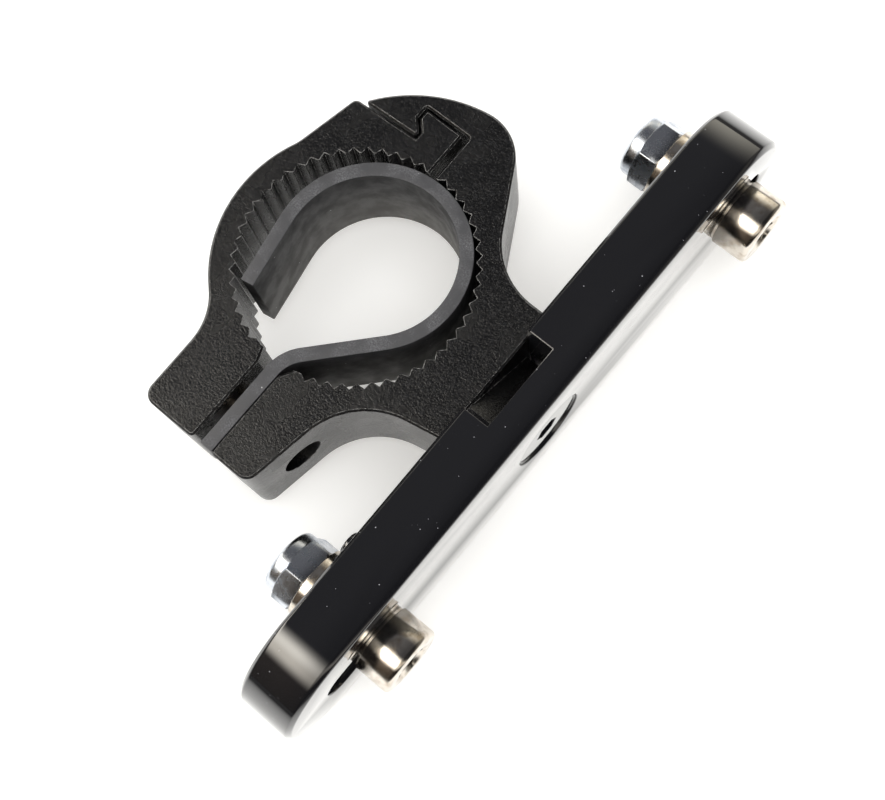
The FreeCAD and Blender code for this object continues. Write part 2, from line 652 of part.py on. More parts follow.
def buildRailScrew():
    body = newBody("rail_screw")
    headRadius = size("screw_head_diameter") / 2
    shankRadius = size("screw_diameter") / 2
    headTop = worth(screwTop)
    coneTop = headTop - size("screw_head_edge")
    end = headTop - size("screw_length")
    profile = newSketch(body, "ScrewProfile", "XY_Plane")
    addPolygon(profile, [
        (end, 0.0),
        (end, shankRadius - size("tip_chamfer")),
        (end + size("tip_chamfer"), shankRadius),
        (coneTop - headRadius + shankRadius, shankRadius),
        (coneTop, headRadius),
        (headTop, headRadius),
        (headTop, 0.0),
    ])
    turnProfile(body, "Revolution", "ScrewTurn", profile, "X_Axis")
    socket = newSketch(body, "Socket", "YZ_Plane", screwTop)
    addHexagon(socket, "screw_socket")
    addFeature(body, "Pocket", "SocketCut", socket, "Sizes.screw_socket_depth")
    return body


def placeAlongX(body, turn, x, y):
    # Stands a turned piece, drawn upright, along the X axis: +90 points its top to +X, -90 to -X.
    body.Placement = FreeCAD.Placement(vec(0, 0), FreeCAD.Rotation(vec(0, 1, 0), turn))
    body.setExpression("Placement.Base.x", x)
    body.setExpression("Placement.Base.y", y)
    doc.recompute()


def buildCapBolt(label, kind, turn, x, y):
    # A cap screw drawn upright: the shank hangs below the origin and the head stands on it.
    body = newBody(label)
    head = newSketch(body, "Head", "XY_Plane")
    addCircle(head, f"Sizes.{kind}_head_diameter")
    addFeature(body, "Pad", "HeadPad", head, f"Sizes.{kind}_head_height")
    height = size(f"{kind}_head_height")
    dressEdges(body, "Chamfer", "HeadRim", lambda edge: edge.BoundBox.ZMin > height - 0.01, "Sizes.head_break")
    shank = newSketch(body, "Shank", "XY_Plane")
    addCircle(shank, f"Sizes.{kind}_diameter")
    addFeature(body, "Pad", "ShankPad", shank, f"Sizes.{kind}_length", Reversed=True)
    length = size(f"{kind}_length")
    dressEdges(body, "Chamfer", "TipChamfer", lambda edge: edge.BoundBox.ZMax < 0.01 - length, "Sizes.tip_chamfer")
    socket = newSketch(body, "Socket", "XY_Plane", f"Sizes.{kind}_head_height")
    addHexagon(socket, "cap_socket")
    addFeature(body, "Pocket", "SocketCut", socket, "Sizes.cap_socket_depth")
    placeAlongX(body, turn, x, y)
    return body


def buildWasher(label, kind, x, y):
    body = newBody(label)
    ring = newSketch(body, "Ring", "XY_Plane")
    addCircle(ring, f"Sizes.{kind}_diameter")
    addCircle(ring, "Sizes.washer_hole")
    addFeature(body, "Pad", "RingPad", ring, f"Sizes.{kind}_thickness")
    placeAlongX(body, 90, x, y)
    return body


def buildLockNut(label, turn, x, y):
    # A lock nut drawn upright: bearing face down, collar up.
    body = newBody(label)
    flatRadius = size("nut_across_flats") / 2
    cornerRadius = size("nut_across_flats") / sqrt(3)
    hexTop = size("nut_hex_height")
    ringRadius = size("ring_diameter") / 2
    ringTop = size("nut_height") - size("collar_lip")
    collarRadius = size("collar_diameter") / 2
    mouthRadius = size("collar_mouth") / 2

    hexagon = newSketch(body, "Hexagon", "XY_Plane")
    addHexagon(hexagon, "nut_across_flats")
    addCircle(hexagon, "Sizes.bolt_diameter + 2 * Sizes.thread_clearance")
    addFeature(body, "Pad", "HexagonPad", hexagon, "Sizes.nut_hex_height")
    chamfers = newSketch(body, "CornerChamfers", "XZ_Plane")
    for face, inward in ((0.0, 1), (hexTop, -1)):
        addPolygon(chamfers, [
            (flatRadius, face),
            (2 * cornerRadius - flatRadius, face),
            (2 * cornerRadius - flatRadius, face + 2 * inward * size("nut_chamfer")),
        ])
    turnProfile(body, "Groove", "CornerChamferCut", chamfers, "Z_Axis")
    seat = newSketch(body, "RingSeat", "XZ_Plane")
    addPolygon(seat, [
        (0.0, ringTop - size("ring_thickness")),
        (ringRadius, ringTop - size("ring_thickness")),
        (ringRadius, ringTop),
        (0.0, ringTop),
    ])
    turnProfile(body, "Groove", "RingSeatCut", seat, "Z_Axis")
    collar = newSketch(body, "Collar", "XZ_Plane")
    addPolygon(collar, [
        (ringRadius, hexTop),
        (collarRadius, hexTop),
        (collarRadius, size("nut_height") - size("collar_break")),
        (collarRadius - size("collar_break"), size("nut_height")),
        (mouthRadius, size("nut_height")),
        (mouthRadius, ringTop),
        (ringRadius, ringTop),
    ])
    turnProfile(body, "Revolution", "CollarTurn", collar, "Z_Axis")
    placeAlongX(body, -90, x, y)
    spin = FreeCAD.Rotation(vec(1, 0, 0), size(turn))
    body.Placement = FreeCAD.Placement(body.Placement.Base, spin.multiply(body.Placement.Rotation))
    return body


def buildNylonRing(label, x, y):
    body = newBody(label)
    ring = newSketch(body, "Ring", "XY_Plane")
    addCircle(ring, "Sizes.ring_diameter")
    addCircle(ring, "Sizes.bolt_diameter + 2 * Sizes.thread_clearance")
    addFeature(body, "Pad", "RingPad", ring, "Sizes.ring_thickness")
    placeAlongX(body, -90, x, y)
    return body


parts = [buildClampBody(), buildClampArm(), buildLiner(), buildRail(), buildRailScrew()]
pinchSeat = "-Sizes.gap_arm - Sizes.pinch_floor - Sizes.pinch_seat_gap"
parts.append(buildCapBolt("pinch_bolt", "pinch", -90, pinchSeat, "-Sizes.pinch_y"))
backSeat = "Sizes.rail_back - Sizes.washer_thickness"
nutSeat = f"{backSeat} - Sizes.washer_thickness"
ringSeat = f"{nutSeat} - Sizes.nut_height + Sizes.collar_lip + Sizes.ring_thickness"
headSeat = f"{railFront} + Sizes.front_washer_thickness"
for side, y in boltY.items():
    parts.append(buildWasher(f"{side}_front_washer", "front_washer", railFront, y))
    parts.append(buildCapBolt(f"{side}_cage_bolt", "bolt", 90, headSeat, y))
    parts.append(buildWasher(f"{side}_back_washer", "washer", backSeat, y))
    parts.append(buildWasher(f"{side}_nut_washer", "washer", nutSeat, y))
    parts.append(buildLockNut(f"{side}_lock_nut", f"{side}_nut_turn", nutSeat, y))
    parts.append(buildNylonRing(f"{side}_nylon_ring", ringSeat, y))

doc.recompute()
for item in doc.Objects:
    if "Invalid" in item.State or "Error" in item.State:
        raise RuntimeError(f"{item.Name} failed: {item.State}")
for part in parts:
    if part.Shape.isNull() or not part.Shape.isValid():
        raise RuntimeError(f"{part.Label} has no valid shape")

os.makedirs("parts", exist_ok=True)
for part in parts:
    part.Shape.exportStep(f"parts/{part.Label}.step")
    print(part.Label, round(part.Shape.Volume, 1), len(part.Shape.Faces))
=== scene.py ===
from math import cos, pi, radians

import bmesh
import bpy
from mathutils import Euler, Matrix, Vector


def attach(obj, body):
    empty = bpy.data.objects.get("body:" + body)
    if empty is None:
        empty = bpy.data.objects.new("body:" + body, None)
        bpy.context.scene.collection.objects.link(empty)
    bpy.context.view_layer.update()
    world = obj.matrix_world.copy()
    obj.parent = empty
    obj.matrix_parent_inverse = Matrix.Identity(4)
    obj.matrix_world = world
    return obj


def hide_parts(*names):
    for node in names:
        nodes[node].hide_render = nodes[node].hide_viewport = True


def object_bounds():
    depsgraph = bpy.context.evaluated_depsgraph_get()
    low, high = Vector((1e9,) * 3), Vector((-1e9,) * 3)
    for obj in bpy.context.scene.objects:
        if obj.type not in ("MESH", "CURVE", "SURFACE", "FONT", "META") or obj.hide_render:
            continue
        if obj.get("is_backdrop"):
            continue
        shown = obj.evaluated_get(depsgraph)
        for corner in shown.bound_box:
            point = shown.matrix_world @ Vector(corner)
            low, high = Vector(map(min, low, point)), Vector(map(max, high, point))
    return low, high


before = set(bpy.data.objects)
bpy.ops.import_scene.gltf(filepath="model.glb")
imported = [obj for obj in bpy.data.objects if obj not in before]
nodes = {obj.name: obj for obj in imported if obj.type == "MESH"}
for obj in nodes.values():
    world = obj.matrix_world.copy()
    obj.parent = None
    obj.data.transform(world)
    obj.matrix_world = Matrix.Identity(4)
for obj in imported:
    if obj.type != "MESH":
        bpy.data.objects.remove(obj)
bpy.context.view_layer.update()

mm = 0.001
nearly = 1e-6            # what counts as the same place, in metres
boltRows = {"lower": -30.0 * mm, "upper": 34.0 * mm}     # places along the rail
print("frame loaded:", len(nodes), "nodes")


# Small helpers for shader trees

def newMaterial(name):
    material = bpy.data.materials.new(name)
    material.use_nodes = True
    material.node_tree.nodes.clear()
    tree = material.node_tree
    output = tree.nodes.new("ShaderNodeOutputMaterial")
    shader = tree.nodes.new("ShaderNodeBsdfPrincipled")
    tree.links.new(shader.outputs[0], output.inputs["Surface"])
    return material, tree, shader


def newGroup(name, inputs, outputs):
    # inputs: (name, type, start value), outputs: (name, type)
    group = bpy.data.node_groups.new(name, "ShaderNodeTree")
    for socketName, kind, value in inputs:
        socket = group.interface.new_socket(socketName, in_out="INPUT", socket_type=kind)
        socket.default_value = value
    for socketName, kind in outputs:
        group.interface.new_socket(socketName, in_out="OUTPUT", socket_type=kind)
    entry = group.nodes.new("NodeGroupInput")
    leave = group.nodes.new("NodeGroupOutput")
    return group, entry, leave


def useGroup(tree, group, **values):
    node = tree.nodes.new("ShaderNodeGroup")
    node.node_tree = group
    for name, value in values.items():
        node.inputs[name.replace("_", " ")].default_value = value
    return node


def link(tree, source, target):
    tree.links.new(source, target)


def mathNode(tree, operation, *inputs, clamp=False):
    node = tree.nodes.new("ShaderNodeMath")
    node.operation = operation
    node.use_clamp = clamp
    for socket, value in zip(node.inputs, inputs):
        if isinstance(value, (int, float)):
            socket.default_value = value
        else:
            tree.links.new(value, socket)
    return node.outputs[0]


def rampNode(tree, source, low, high, toLow=0.0, toHigh=1.0, smooth=True):
    node = tree.nodes.new("ShaderNodeMapRange")
    node.interpolation_type = "SMOOTHSTEP" if smooth else "LINEAR"
    node.inputs["From Min"].default_value = low
    node.inputs["From Max"].default_value = high
    node.inputs["To Min"].default_value = toLow
    node.inputs["To Max"].default_value = toHigh
    tree.links.new(source, node.inputs["Value"])
    return node.outputs["Result"]


def mixColour(tree, factor, first, second, blend="MIX"):
    node = tree.nodes.new("ShaderNodeMix")
    node.data_type = "RGBA"
    node.blend_type = blend
    sockets = (node.inputs[0], node.inputs[6], node.inputs[7])
    for socket, value in zip(sockets, (factor, first, second)):
        if isinstance(value, (int, float)):
            socket.default_value = value
        elif isinstance(value, tuple):
            socket.default_value = (*value, 1.0)
        else:
            tree.links.new(value, socket)
    return node.outputs[2]


def noiseNode(tree, place, scale, detail=2.0, roughness=0.5, distortion=0.0):
    node = tree.nodes.new("ShaderNodeTexNoise")
    node.inputs["Scale"].default_value = scale
    node.inputs["Detail"].default_value = detail
    node.inputs["Roughness"].default_value = roughness
    node.inputs["Distortion"].default_value = distortion
    tree.links.new(place, node.inputs["Vector"])
    return node.outputs["Fac"]


def objectPlace(tree):
    return tree.nodes.new("ShaderNodeTexCoord").outputs["Object"]


def bumpNode(tree, height, distance, strength=1.0, normal=None):
    node = tree.nodes.new("ShaderNodeBump")
    node.inputs["Distance"].default_value = distance
    node.inputs["Strength"].default_value = strength
    tree.links.new(height, node.inputs["Height"])
    if normal:
        tree.links.new(normal, node.inputs["Normal"])
    return node.outputs["Normal"]


# Effects that several finishes share

def makeEdgeGroup():
    # Soft normal over sharp edges, and a mask of the edges themselves broken up by noise, which carries the
    # coat's painted edge highlight
    inputs = [
        ("Radius", "NodeSocketFloat", 0.0002),
        ("Wear", "NodeSocketFloat", 0.5),
        ("Breakup", "NodeSocketFloat", 1500.0),
    ]
    outputs = [("Normal", "NodeSocketVector"), ("Mask", "NodeSocketFloat")]
    group, entry, leave = newGroup("edgeWear", inputs, outputs)
    bevel = group.nodes.new("ShaderNodeBevel")
    bevel.samples = 6
    link(group, entry.outputs["Radius"], bevel.inputs["Radius"])
    geometry = group.nodes.new("ShaderNodeNewGeometry")
    dot = group.nodes.new("ShaderNodeVectorMath")
    dot.operation = "DOT_PRODUCT"
    link(group, bevel.outputs["Normal"], dot.inputs[0])
    link(group, geometry.outputs["Normal"], dot.inputs[1])
    turn = mathNode(group, "SUBTRACT", 1.0, dot.outputs["Value"])
    edge = rampNode(group, turn, 0.015, 0.14)
    place = objectPlace(group)
    noise = group.nodes.new("ShaderNodeTexNoise")
    link(group, place, noise.inputs["Vector"])
    link(group, entry.outputs["Breakup"], noise.inputs["Scale"])
    broken = rampNode(group, noise.outputs["Fac"], 0.35, 0.65)
    mask = mathNode(group, "MULTIPLY", edge, broken)
    mask = mathNode(group, "MULTIPLY", mask, entry.outputs["Wear"], clamp=True)
    link(group, bevel.outputs["Normal"], leave.inputs["Normal"])
    link(group, mask, leave.inputs["Mask"])
    return group


def makeDustGroup():
    # Loose specks of dust: sharp dots
    inputs = [
        ("Size", "NodeSocketFloat", 900.0),
        ("Amount", "NodeSocketFloat", 0.3),
    ]
    outputs = [("Mask", "NodeSocketFloat")]
    group, entry, leave = newGroup("dustSpecks", inputs, outputs)
    place = objectPlace(group)
    cells = group.nodes.new("ShaderNodeTexVoronoi")
    cells.feature = "F1"
    link(group, place, cells.inputs["Vector"])
    link(group, entry.outputs["Size"], cells.inputs["Scale"])
    pick = group.nodes.new("ShaderNodeSeparateColor")
    link(group, cells.outputs["Color"], pick.inputs[0])
    chosen = mathNode(group, "LESS_THAN", pick.outputs[0], entry.outputs["Amount"])
    grainSize = mathNode(group, "MULTIPLY", pick.outputs[1], 0.16)
    inside = mathNode(group, "SUBTRACT", grainSize, cells.outputs["Distance"])
    dot = rampNode(group, inside, -0.02, 0.03)
    mask = mathNode(group, "MULTIPLY", dot, chosen, clamp=True)
    link(group, mask, leave.inputs["Mask"])
    return group


edgeWear = makeEdgeGroup()
dustSpecks = makeDustGroup()


# Finishes

powderCoat = {
    "colour": (0.003, 0.003, 0.0032),
    # painted glint colour on the grain's tops
    "grainGlintColour": (0.016, 0.016, 0.017),
    "roughness": 0.24,
    "grainScale": 4300.0,
    "grainHeight": 0.055 * mm,
    "patchScale": 160.0,
    # painted highlight along the edges: its colour, strength, width and breakup
    "edgeHighlightColour": (0.5, 0.49, 0.47),
    "edgeHighlight": 0.8,
    "edgeRoundRadius": 0.16 * mm,
    "highlightBreakup": 2600.0,
}


def coatMaterial(name, settings):
    material, tree, shader = newMaterial(name)
    place = objectPlace(tree)
    grain = noiseNode(tree, place, settings["grainScale"], 3.0, 0.6, 0.6)
    patches = noiseNode(tree, place, settings["patchScale"], 2.0)
    edges = useGroup(tree, edgeWear, Radius=settings["edgeRoundRadius"], Wear=settings["edgeHighlight"],
                     Breakup=settings["highlightBreakup"])
    # Painted glints: the grain's tops are painted lighter, standing in for the coat's sparkle
    paintedGlints = rampNode(tree, grain, 0.5, 0.68)
    base = mixColour(tree, paintedGlints, settings["colour"], settings["grainGlintColour"])
    # Painted highlight: a pale line along the rounded edges, broken up by noise
    colour = mixColour(tree, edges.outputs["Mask"], base, settings["edgeHighlightColour"])
    link(tree, colour, shader.inputs["Base Color"])
    smooth, dull = settings["roughness"] - 0.05, settings["roughness"] + 0.07
    rough = rampNode(tree, patches, 0.3, 0.7, smooth, dull)
    link(tree, rough, shader.inputs["Roughness"])
    shader.inputs["Specular IOR Level"].default_value = 0.6
    normal = bumpNode(tree, grain, settings["grainHeight"], 1.0, edges.outputs["Normal"])
    link(tree, normal, shader.inputs["Normal"])
    return material


railGloss = {
    "colour": (0.006, 0.006, 0.007),
    "roughness": 0.05,
    "coatRoughness": 0.03,
    "edgeRadius": 0.2 * mm,
    "smearScale": 220.0,
    "peelScale": 900.0,
    "peelHeight": 0.002 * mm,
    "dustColour": (0.32, 0.32, 0.34),
    "dust": 0.16,
    "dustSize": 2100.0,
}
screwGloss = {**railGloss, "dust": 0.02}


def glossMaterial(name, settings):
    material, tree, shader = newMaterial(name)
    place = objectPlace(tree)
    edges = useGroup(tree, edgeWear, Radius=settings["edgeRadius"], Wear=0.0)
    specks = useGroup(tree, dustSpecks, Size=settings["dustSize"], Amount=settings["dust"])
    smear = noiseNode(tree, place, settings["smearScale"], 4.0, 0.6)
    colour = mixColour(tree, specks.outputs["Mask"], settings["colour"], settings["dustColour"])
    link(tree, colour, shader.inputs["Base Color"])
    rough = rampNode(tree, smear, 0.45, 0.8, settings["roughness"], settings["roughness"] + 0.1)
    rough = mathNode(tree, "MAXIMUM", rough, mathNode(tree, "MULTIPLY", specks.outputs["Mask"], 0.6))
    link(tree, rough, shader.inputs["Roughness"])
    shader.inputs["Coat Weight"].default_value = 1.0
    shader.inputs["Coat Roughness"].default_value = settings["coatRoughness"]
    peel = noiseNode(tree, place, settings["peelScale"], 2.0)
    normal = bumpNode(tree, peel, settings["peelHeight"], 1.0, edges.outputs["Normal"])
    link(tree, normal, shader.inputs["Normal"])
    return material


linerRubber = {
    "colour": (0.045, 0.045, 0.048),
    "bloom": (0.12, 0.12, 0.125),
    # painted shade on the walls, and painted light bounced from the floor towards their bottom
    "wallPaintedShade": (0.012, 0.012, 0.013),
    "wallPaintedFloorLight": (0.12, 0.115, 0.105),
    "paintedFloorLightSpan": (-10.0 * mm, 5.0 * mm),
    "dustColour": (0.4, 0.4, 0.4),
    "dust": 0.05,
    "dustSize": 1900.0,
    "roughness": 0.62,
    "grainScale": 5200.0,
    "grainHeight": 0.012 * mm,
    "cloudScale": 420.0,
}


def rubberMaterial(name, settings):
    material, tree, shader = newMaterial(name)
    place = objectPlace(tree)
    fine = noiseNode(tree, place, settings["grainScale"], 3.0, 0.65)
    cloud = noiseNode(tree, place, settings["cloudScale"], 3.0, 0.6)
    specks = useGroup(tree, dustSpecks, Size=settings["dustSize"], Amount=settings["dust"])
    bloom = mathNode(tree, "MULTIPLY", rampNode(tree, cloud, 0.35, 0.7), rampNode(tree, fine, 0.35, 0.7))
    rim = mixColour(tree, bloom, settings["colour"], settings["bloom"])
    # Painted shade and light: walls are painted darker than the cut rim, and paler towards the floor as
    # painted light bounced from it
    height = tree.nodes.new("ShaderNodeSeparateXYZ")
    link(tree, place, height.inputs[0])
    bottom, top = settings["paintedFloorLightSpan"]
    low = rampNode(tree, height.outputs["Z"], bottom, top, 1.0, 0.0)
    wall = mixColour(tree, low, settings["wallPaintedShade"], settings["wallPaintedFloorLight"])
    facing = tree.nodes.new("ShaderNodeSeparateXYZ")
    geometry = tree.nodes.new("ShaderNodeNewGeometry")
    link(tree, geometry.outputs["Normal"], facing.inputs[0])
    # Painted light: faces turned up take the lighter rim colour, faces turned aside the painted wall shade
    paintedTopLight = rampNode(tree, facing.outputs["Z"], 0.25, 0.8)
    colour = mixColour(tree, paintedTopLight, wall, rim)
    colour = mixColour(tree, specks.outputs["Mask"], colour, settings["dustColour"])
    link(tree, colour, shader.inputs["Base Color"])
    smooth, dull = settings["roughness"] - 0.12, settings["roughness"] + 0.1
    rough = rampNode(tree, cloud, 0.3, 0.7, smooth, dull)
    link(tree, rough, shader.inputs["Roughness"])
    normal = bumpNode(tree, fine, settings["grainHeight"], 1.0)
    link(tree, normal, shader.inputs["Normal"])
    return material


plated = {
    "bright": {"colour": (0.72, 0.67, 0.6), "stain": (0.5, 0.42, 0.33), "roughness": 0.16},
    "zinc": {"colour": (0.66, 0.69, 0.74), "stain": (0.42, 0.47, 0.55), "roughness": 0.24},
}
turning = {
    "ringScale": 9000.0,
    "ringHeight": 0.003 * mm,
    "cloudScale": 700.0,
    "edgeRadius": 0.12 * mm,
}


def metalMaterial(name, settings, centre):
    # Turned metal: fine rings about the X axis through the centre
    material, tree, shader = newMaterial(name)
    place = objectPlace(tree)
    mapping = tree.nodes.new("ShaderNodeMapping")
    mapping.vector_type = "POINT"
    mapping.inputs["Location"].default_value = tuple(-c for c in centre)
    link(tree, place, mapping.inputs["Vector"])
    split = tree.nodes.new("ShaderNodeSeparateXYZ")
    link(tree, mapping.outputs["Vector"], split.inputs[0])
    y2 = mathNode(tree, "MULTIPLY", split.outputs["Y"], split.outputs["Y"])
    z2 = mathNode(tree, "MULTIPLY", split.outputs["Z"], split.outputs["Z"])
    reach = mathNode(tree, "SQRT", mathNode(tree, "ADD", y2, z2))
    rings = mathNode(tree, "ADD", reach, split.outputs["X"])
    lines = tree.nodes.new("ShaderNodeTexNoise")
    lines.noise_dimensions = "1D"
    lines.inputs["Scale"].default_value = turning["ringScale"]
    link(tree, rings, lines.inputs["W"])
    cloud = noiseNode(tree, place, turning["cloudScale"], 3.0, 0.6)
    edges = useGroup(tree, edgeWear, Radius=turning["edgeRadius"], Wear=0.0)
    stained = rampNode(tree, cloud, 0.42, 0.75)
    colour = mixColour(tree, stained, settings["colour"], settings["stain"])
    link(tree, colour, shader.inputs["Base Color"])
    shader.inputs["Metallic"].default_value = 1.0
    smooth, dull = settings["roughness"] - 0.05, settings["roughness"] + 0.08
    rough = rampNode(tree, cloud, 0.3, 0.7, smooth, dull)
    link(tree, rough, shader.inputs["Roughness"])
    normal = bumpNode(tree, lines.outputs["Fac"], turning["ringHeight"], 1.0, edges.outputs["Normal"])
    link(tree, normal, shader.inputs["Normal"])
    return material


def nylonMaterial(name):
    material, tree, shader = newMaterial(name)
    place = objectPlace(tree)
    cloud = noiseNode(tree, place, 1800.0, 3.0)
    colour = mixColour(tree, cloud, (0.62, 0.62, 0.56), (0.8, 0.8, 0.76))
    link(tree, colour, shader.inputs["Base Color"])
    shader.inputs["Roughness"].default_value = 0.45
    shader.inputs["Subsurface Weight"].default_value = 0.15
    shader.inputs["Subsurface Scale"].default_value = 0.5 * mm
    normal = bumpNode(tree, cloud, 0.01 * mm)
    link(tree, normal, shader.inputs["Normal"])
    return material


# Helpers for new pieces, all drawn along the X axis

def addTurned(radius, low, high, vertices=64, turn=0.0):
    # A cylinder between two places on the X axis
    bpy.ops.object.select_all(action="DESELECT")
    bpy.ops.mesh.primitive_cylinder_add(
        vertices=vertices, radius=radius, depth=high - low, location=((low + high) / 2, 0, 0))
    piece = bpy.context.object
    piece.rotation_mode = "YXZ"
    piece.rotation_euler = (turn, pi / 2, 0)
    bpy.ops.object.transform_apply(location=True, rotation=True, scale=True)
    piece.rotation_mode = "XYZ"
    return piece


def pickFaces(piece, test):
    bpy.ops.mesh.select_mode(type="FACE")
    bpy.ops.mesh.select_all(action="DESELECT")
    mesh = bmesh.from_edit_mesh(piece.data)
    for face in mesh.faces:
        face.select = test(face.calc_center_median(), face.normal)
    mesh.select_flush_mode()
    bmesh.update_edit_mesh(piece.data)


def pickEdges(piece, test):
    bpy.ops.mesh.select_mode(type="EDGE")
    bpy.ops.mesh.select_all(action="DESELECT")
    mesh = bmesh.from_edit_mesh(piece.data)
    for edge in mesh.edges:
        edge.select = test(edge.verts[0].co, edge.verts[1].co)
    mesh.select_flush_mode()
    bmesh.update_edit_mesh(piece.data)


def stepOut(shift, scale):
    # Draws the selected end further along X and scales it about the axis
    bpy.ops.mesh.extrude_region_move(TRANSFORM_OT_translate={"value": (shift, 0, 0)})
    bpy.ops.transform.resize(value=(1, scale, scale), center_override=(0, 0, 0))


def drawRings(piece, side, places):
    # Follows a list of (x, radius) from the end face on that side
    bpy.ops.object.mode_set(mode="EDIT")
    end = max((v.co.x * side, v.co.x) for v in piece.data.vertices)[1]
    radius = max(Vector((v.co.y, v.co.z)).length for v in piece.data.vertices if abs(v.co.x - end) < nearly)
    pickFaces(piece, lambda centre, normal: normal.x * side > 0.9 and abs(centre.x - end) < nearly)
    for x, nextRadius in places:
        stepOut(x - end, nextRadius / radius)
        end, radius = x, nextRadius
    bpy.ops.object.mode_set(mode="OBJECT")


def combine(piece, other, operation):
    bpy.ops.object.select_all(action="DESELECT")
    bpy.context.view_layer.objects.active = piece
    piece.select_set(True)
    cut = piece.modifiers.new("cut", "BOOLEAN")
    cut.operation = operation
    cut.solver = "EXACT"
    cut.object = other
    bpy.ops.object.modifier_apply(modifier="cut")
    bpy.data.objects.remove(other, do_unlink=True)


def roundEdges(piece, width, segments, angle=30.0):
    bpy.context.view_layer.objects.active = piece
    bevel = piece.modifiers.new("rounded", "BEVEL")
    bevel.width = width
    bevel.segments = segments
    bevel.limit_method = "ANGLE"
    bevel.angle_limit = radians(angle)
    bpy.ops.object.modifier_apply(modifier="rounded")


def standAt(piece, place, turn=0.0):
    # Puts a piece drawn along X in its place and leaves its object at the origin
    bpy.ops.object.select_all(action="DESELECT")
    bpy.context.view_layer.objects.active = piece
    piece.select_set(True)
    piece.rotation_euler = (0, 0, turn)
    piece.location = place
    bpy.ops.object.transform_apply(location=True, rotation=True, scale=True)
    bpy.ops.object.shade_smooth_by_angle(angle=radians(28))


def copyOfNode(node, name):
    # The CAD mesh is loose triangles, so the copy is merged first
    piece = bpy.data.objects.new(name, nodes[node].data.copy())
    bpy.context.scene.collection.objects.link(piece)
    bpy.ops.object.select_all(action="DESELECT")
    bpy.context.view_layer.objects.active = piece
    piece.select_set(True)
    bpy.ops.object.mode_set(mode="EDIT")
    bpy.ops.mesh.select_all(action="SELECT")
    bpy.ops.mesh.remove_doubles(threshold=0.002 * mm)
    bpy.ops.mesh.dissolve_limited(angle_limit=radians(1.0))
    bpy.ops.object.mode_set(mode="OBJECT")
    return piece


def dress(piece, material):
    piece = nodes[piece] if isinstance(piece, str) else piece
    piece.data.materials.clear()
    piece.data.materials.append(material)


# Cap screws

capBolt = {
    "headRadius": 4.25 * mm,
    "rimRound": 0.55 * mm,
    "underRound": 0.12 * mm,
    "socketWidth": 4.0 * mm,
    "socketDepth": 2.5 * mm,
    "socketMouth": 2.54 * mm,
    "mouthDepth": 0.45 * mm,
    "drillWall": 0.25 * mm,
    "drillPoint": 0.9 * mm,
    "over": 0.5 * mm,        # how far cutters stand out of the head
    "shankRadius": 2.5 * mm,
    "threadPitch": 0.8 * mm,
    "threadDepth": 0.3 * mm,
    "plainNeck": 0.4 * mm,
    "tip": 0.6 * mm,
}


def makeCapBolt(name, settings, headHeight, length):
    # Drawn with the bearing face at the origin and the head along +X
    radius = settings["headRadius"]
    shank = settings["shankRadius"]
    bolt = addTurned(radius, 0.0, headHeight, 96)
    bolt.name = name
    bpy.ops.object.mode_set(mode="EDIT")
    pickEdges(bolt, lambda a, b: min(a.x, b.x) > headHeight - nearly)
    bpy.ops.mesh.bevel(offset=settings["rimRound"], segments=6, affect="EDGES")
    pickEdges(bolt, lambda a, b: max(a.x, b.x) < nearly)
    bpy.ops.mesh.bevel(offset=settings["underRound"], segments=2, affect="EDGES")
    pickFaces(bolt, lambda centre, normal: normal.x < -0.99)
    bpy.ops.mesh.inset(thickness=radius - settings["underRound"] - shank)
    bpy.ops.object.mode_set(mode="OBJECT")

    # Threads as close rings, then the chamfered tip
    root = shank - settings["threadDepth"]
    pitch = settings["threadPitch"]
    rings = [(-settings["plainNeck"], shank)]
    x = -settings["plainNeck"]
    while x - pitch > settings["tip"] - length:
        rings += [(x - 0.4 * pitch, root), (x - 0.55 * pitch, root)]
        rings += [(x - 0.95 * pitch, shank), (x - pitch, shank)]
        x -= pitch
    rings += [(settings["tip"] - length, shank), (-length, shank - settings["tip"])]
    bpy.ops.object.mode_set(mode="EDIT")
    pickFaces(bolt, lambda centre, normal: normal.x < -0.99 and Vector((centre.y, centre.z)).length < 1e-5)
    end, size = 0.0, shank
    for place, nextSize in rings:
        stepOut(place - end, nextSize / size)
        end, size = place, nextSize
    bpy.ops.object.mode_set(mode="OBJECT")

    # Hexagon socket with a drilled floor and a turned mouth
    flat = settings["socketWidth"] / 2
    floor = headHeight - settings["socketDepth"]
    mouth = settings["socketMouth"]
    top = headHeight + settings["over"]
    socket = addTurned(flat / cos(pi / 6), floor, top, 6, pi / 6)
    combine(bolt, socket, "DIFFERENCE")
    drill = addTurned(flat * 0.96, floor - settings["drillWall"], top, 48)
    drawRings(drill, -1, [(floor - settings["drillPoint"], settings["drillWall"])])
    combine(bolt, drill, "DIFFERENCE")
    under = headHeight - settings["mouthDepth"]
    countersink = addTurned(mouth - settings["mouthDepth"], under, under + 0.001 * mm, 64)
    drawRings(countersink, 1, [(headHeight, mouth), (top, mouth + settings["over"])])
    combine(bolt, countersink, "DIFFERENCE")
    return bolt


bolts = {
    "lower_cage_bolt": {
        "body": "lower_bolt_set",
        "head": 4.5 * mm,
        "shank": 14.0 * mm,
        "seat": (28.43 * mm, boltRows["lower"], 0.0),    # centre of the bearing face
        "turn": 0.0,
    },
    "upper_cage_bolt": {
        "body": "upper_bolt_set",
        "head": 4.5 * mm,
        "shank": 14.0 * mm,
        "seat": (28.43 * mm, boltRows["upper"], 0.0),
        "turn": 0.0,
    },
    "pinch_bolt": {
        "body": "pinch",
        "head": 4.6 * mm,
        "shank": 10.0 * mm,
        "seat": (-4.15 * mm, -20.0 * mm, 0.0),
        "turn": pi,
    },
}
boltPieces = {}
for node, bolt in bolts.items():
    piece = makeCapBolt(node + "_turned", capBolt, bolt["head"], bolt["shank"])
    standAt(piece, bolt["seat"], bolt["turn"])
    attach(piece, bolt["body"])
    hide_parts(node)
    boltPieces[node] = piece
print("cap screws made")


# Lock nuts

